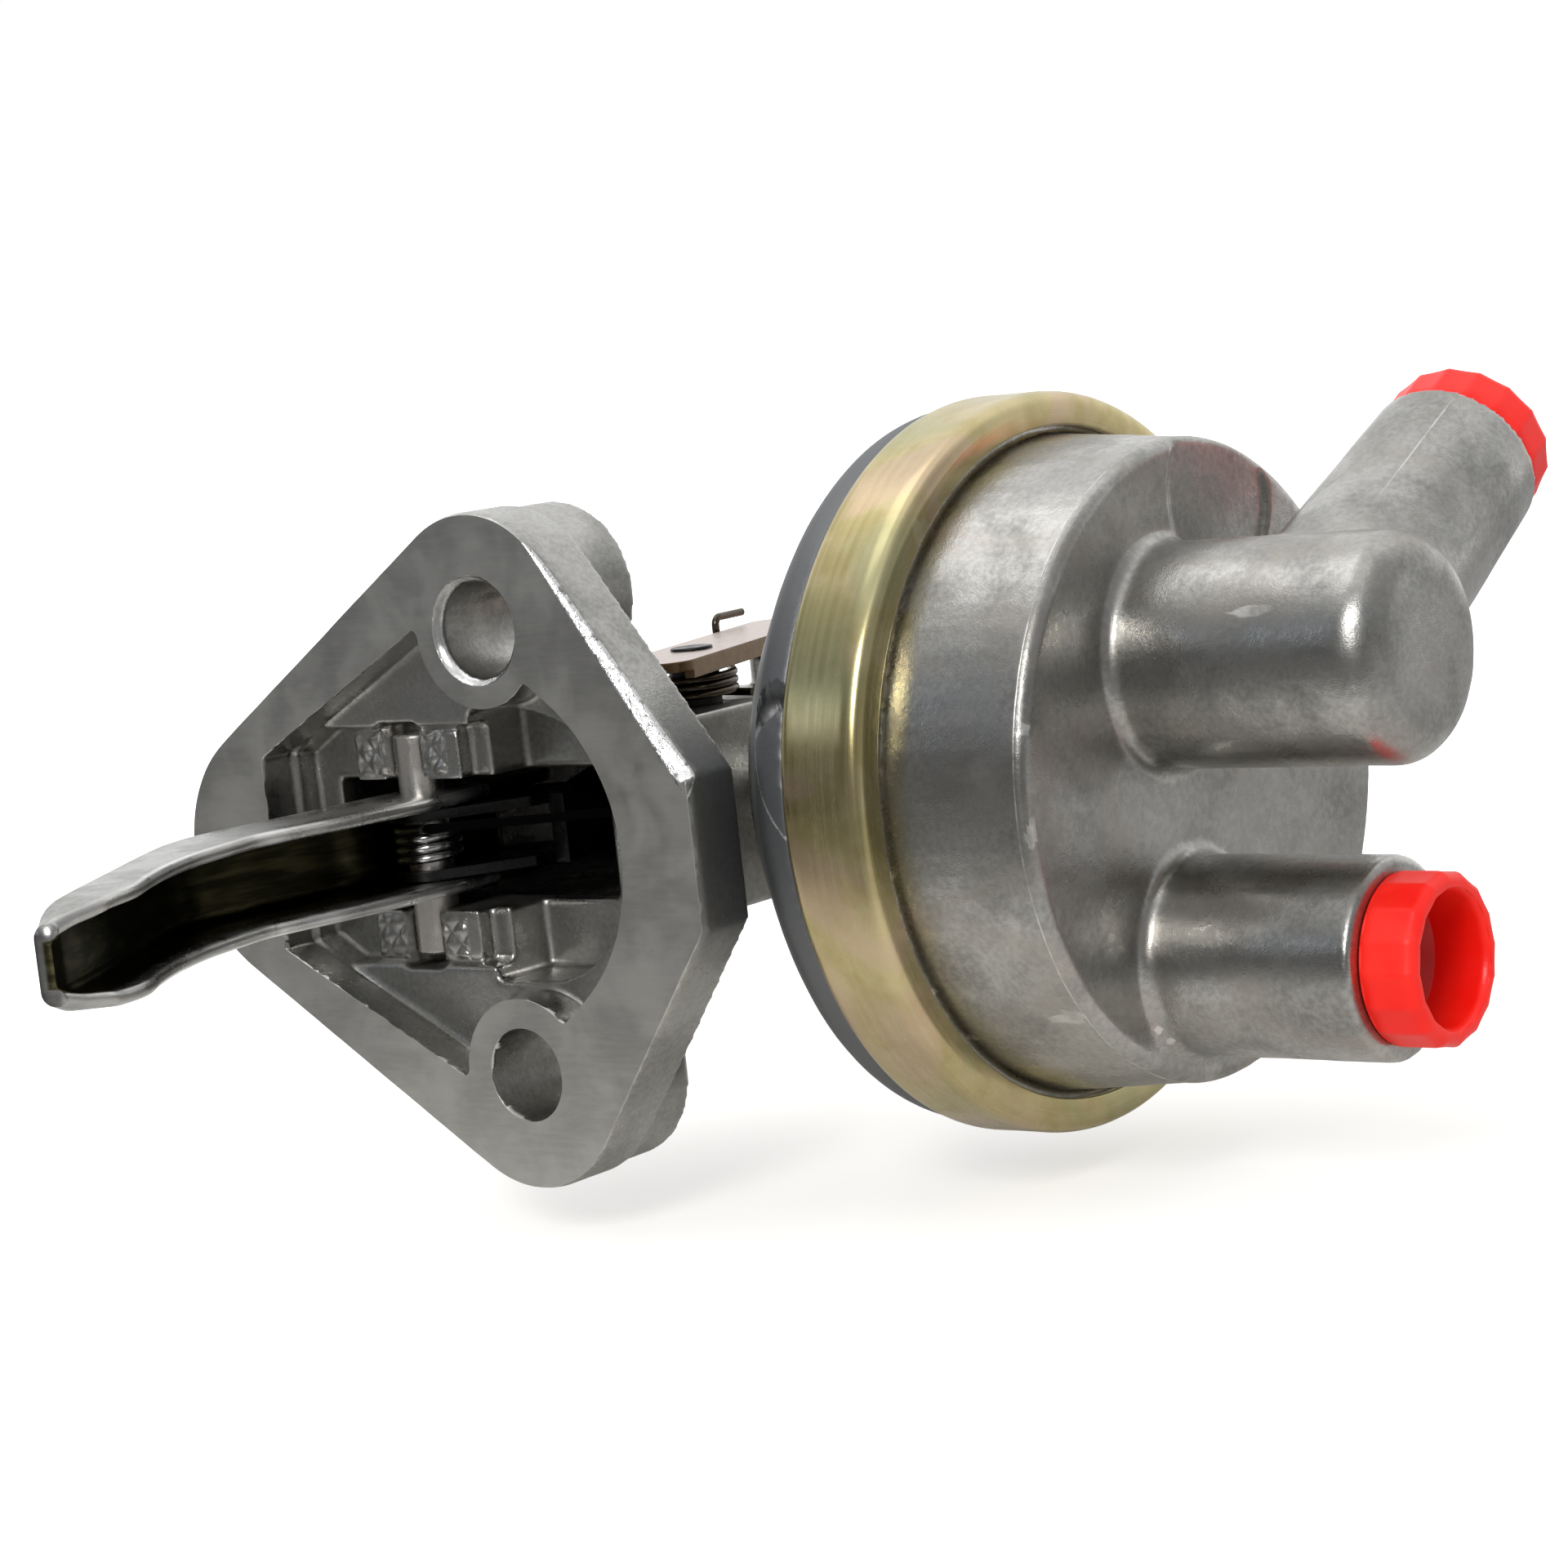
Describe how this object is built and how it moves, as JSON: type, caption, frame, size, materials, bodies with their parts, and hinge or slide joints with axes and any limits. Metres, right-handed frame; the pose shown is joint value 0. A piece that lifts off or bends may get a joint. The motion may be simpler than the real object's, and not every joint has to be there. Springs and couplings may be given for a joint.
{
  "type": "mechanical fuel pump",
  "caption": "Engine-driven diaphragm fuel pump: flange with rocker lever, crimped chamber, priming lever, straight port and elbow closed by red caps.",
  "frame": {"origin": "middle of the line between both bolt holes, on the flange's mounting face", "axes": "+X from the mounting face into the pump, +Y from the ports towards the rocker's pivot side, +Z along the bolt line towards the priming lever"},
  "size_m": [0.126, 0.1229, 0.07],
  "materials": {
    "cast_body": "as-cast die-cast aluminium, satin and slightly mottled",
    "cast_cover": "as-cast die-cast aluminium, satin",
    "zinc_yellow": "pressed steel with yellow passivated zinc",
    "black_rubber": "oil-proof rubber",
    "bright_spring": "drawn spring wire",
    "bright_steel": "ground steel",
    "dark_steel": "phosphated steel",
    "black_spring": "blackened spring wire",
    "brass": "drawn brass",
    "red_plastic": "soft moulded plastic",
    "oiled_steel": "pressed steel, dark and oily",
    "copper_steel": "pressed steel with a thin copper-toned coat"
  },
  "bodies": {
    "pump_body": {"body_casting": "cast_body", "cover_casting": "cast_cover", "crimp_ring": "zinc_yellow", "diaphragm": "black_rubber", "diaphragm_spring": "bright_spring", "oil_seal": "black_rubber", "seal_retainer": "bright_steel", "pivot_pin": "bright_steel", "rocker_spring": "black_spring", "primer_spring": "black_spring", "inlet_valve_cage": "brass", "inlet_valve_spring": "bright_spring", "outlet_valve_cage": "brass", "outlet_valve_spring": "bright_spring", "spout_cap": "red_plastic", "arm_cap": "red_plastic"},
    "rocker": {"rocker_arm": "oiled_steel", "rocker_link": "dark_steel"},
    "plunger": {"pull_rod": "bright_steel", "fuel_plate": "zinc_yellow", "spring_plate": "zinc_yellow"},
    "primer": {"primer_lever": "copper_steel", "primer_shaft": "dark_steel"},
    "inlet_disc": {"inlet_valve_disc": "black_rubber"},
    "outlet_disc": {"outlet_valve_disc": "black_rubber"}
  },
  "joints": [
    {"name": "rocker_pivot", "type": "hinge", "parent": "pump_body", "child": "rocker", "pos_m": [0.007, 0.0159, 0], "axis": [0, 0, 1], "range_deg": [0, 6], "stiffness_Nm_per_rad": 0.4, "springref_deg": -8.59, "deforming": ["rocker_spring"]},
    {"name": "plunger_slide", "type": "slide", "parent": "pump_body", "child": "plunger", "axis": [0, 1, 0], "range_m": [0, 0.0036], "deforming": ["diaphragm", "diaphragm_spring"]},
    {"name": "primer_turn", "type": "hinge", "parent": "pump_body", "child": "primer", "pos_m": [0.03, -0.0006, 0], "axis": [0, 0, 1], "range_deg": [0, 45], "stiffness_Nm_per_rad": 0.05, "springref_deg": -28.65, "deforming": ["primer_spring"]},
    {"name": "inlet_valve_lift", "type": "slide", "parent": "pump_body", "child": "inlet_disc", "axis": [0, 1, 0], "range_m": [0, 0.001], "stiffness_N_per_m": 60, "springref_m": -0.001, "deforming": ["inlet_valve_spring"]},
    {"name": "outlet_valve_lift", "type": "slide", "parent": "pump_body", "child": "outlet_disc", "axis": [0, -1, 0], "range_m": [0, 0.001], "stiffness_N_per_m": 60, "springref_m": -0.001, "deforming": ["outlet_valve_spring"]}
  ],
  "couplings": [
    {"joint": "plunger_slide", "follows": "rocker_pivot", "m_per_rad": 0.0336}
  ]
}
